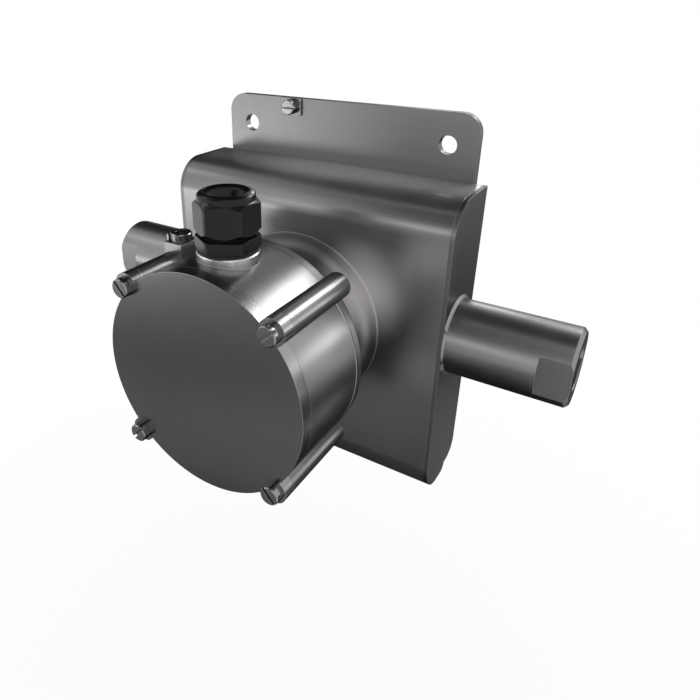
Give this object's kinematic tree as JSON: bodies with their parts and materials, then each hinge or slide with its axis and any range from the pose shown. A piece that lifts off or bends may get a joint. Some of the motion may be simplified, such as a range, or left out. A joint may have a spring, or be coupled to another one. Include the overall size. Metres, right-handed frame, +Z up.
{
  "type": "coriolis flow meter",
  "caption": "Wall-mounted Coriolis flow meter: flat bent-sheet sensor case, round terminal housing with screwed lid, upright cable gland and threaded pipe connections.",
  "frame": {"origin": "on the wall face of the mounting plate, where the axis of the round terminal housing meets it", "axes": "+X along the process pipe, +Y into the wall, +Z up"},
  "size_m": [0.254, 0.1223, 0.1805],
  "materials": {
    "plate_steel": "brushed",
    "case_steel": "satin",
    "connection_steel": "turned",
    "housing_steel": "satin",
    "lid_steel": "satin",
    "screw_steel": "polished",
    "earth_steel": "satin",
    "gland_plastic": "gloss",
    "seal_rubber": "matte",
    "tube_steel": "drawn",
    "magnet_metal": "nickel plated",
    "copper": "enamelled copper winding",
    "wire_plastic": "matte",
    "feed_metal": "satin",
    "pin_brass": "gilt",
    "board_green": "solder resist",
    "terminal_plastic": "matte",
    "module_plastic": "matte"
  },
  "bodies": {
    "base": {"mounting_plate": "plate_steel", "bonding_pad": "plate_steel", "case_back": "case_steel", "case_cover": "case_steel", "case_side_left": "case_steel", "case_side_right": "case_steel", "connection_left": "connection_steel", "connection_right": "connection_steel", "housing_neck": "housing_steel", "rear_cap": "housing_steel", "housing_tube": "housing_steel", "lid_posts": "housing_steel", "gland_boss": "housing_steel", "gland_washer": "seal_rubber", "gland_body": "gland_plastic", "gland_seal": "seal_rubber", "earth_block": "earth_steel", "earth_clamp": "earth_steel", "tube_anchors": "tube_steel", "coil_frame": "tube_steel", "coils": "copper", "sensor_wires": "wire_plastic", "feedthrough": "feed_metal", "feedthrough_pins": "pin_brass", "board_standoffs": "screw_steel", "circuit_board": "board_green", "board_screws": "screw_steel", "terminal_block": "terminal_plastic", "terminal_screws": "screw_steel", "memory_module": "module_plastic"},
    "lid": {"lid": "lid_steel", "lid_o_ring": "seal_rubber"},
    "measuring_tube": {"measuring_tube": "tube_steel", "magnet_holders": "tube_steel", "magnets": "magnet_metal", "temperature_sensor": "tube_steel", "sensor_band": "tube_steel"},
    "gland_nut": {"gland_nut": "gland_plastic"},
    "earth_screw": {"earth_screw": "screw_steel"},
    "bonding_screw": {"bonding_screw": "screw_steel"},
    "cover_screw_top_left": {"cover_screw_top_left": "screw_steel"},
    "cover_screw_top_right": {"cover_screw_top_right": "screw_steel"},
    "cover_screw_bottom_left": {"cover_screw_bottom_left": "screw_steel"},
    "cover_screw_bottom_right": {"cover_screw_bottom_right": "screw_steel"}
  },
  "joints": [
    {"name": "lid_lift_off", "type": "slide", "parent": "base", "child": "lid", "axis": [0, -1, 0], "range_m": [0, 0.06]},
    {"name": "cover_screw_top_left_turn", "type": "hinge", "parent": "lid", "child": "cover_screw_top_left", "pos_m": [-0.0364, -0.1185, 0.0364], "axis": [0, -1, 0], "continuous": true},
    {"name": "cover_screw_top_right_turn", "type": "hinge", "parent": "lid", "child": "cover_screw_top_right", "pos_m": [0.0364, -0.1185, 0.0364], "axis": [0, -1, 0], "continuous": true},
    {"name": "cover_screw_bottom_left_turn", "type": "hinge", "parent": "lid", "child": "cover_screw_bottom_left", "pos_m": [-0.0364, -0.1185, -0.0364], "axis": [0, -1, 0], "continuous": true},
    {"name": "cover_screw_bottom_right_turn", "type": "hinge", "parent": "lid", "child": "cover_screw_bottom_right", "pos_m": [0.0364, -0.1185, -0.0364], "axis": [0, -1, 0], "continuous": true},
    {"name": "gland_nut_turn", "type": "hinge", "parent": "base", "child": "gland_nut", "pos_m": [0, -0.0955, 0.065], "axis": [0, 0, 1], "continuous": true},
    {"name": "earth_screw_turn", "type": "hinge", "parent": "base", "child": "earth_screw", "pos_m": [-0.035, -0.085, 0.048], "axis": [0, 0, 1], "continuous": true},
    {"name": "bonding_screw_turn", "type": "hinge", "parent": "base", "child": "bonding_screw", "pos_m": [-0.029, -0.005, 0.09425], "axis": [0, -1, 0], "continuous": true},
    {"name": "tube_vibration", "type": "hinge", "parent": "base", "child": "measuring_tube", "pos_m": [0, -0.0255, 0.0035], "axis": [1, 0, 0], "range_deg": [-0.3, 0.3], "stiffness_Nm_per_rad": 100}
  ]
}
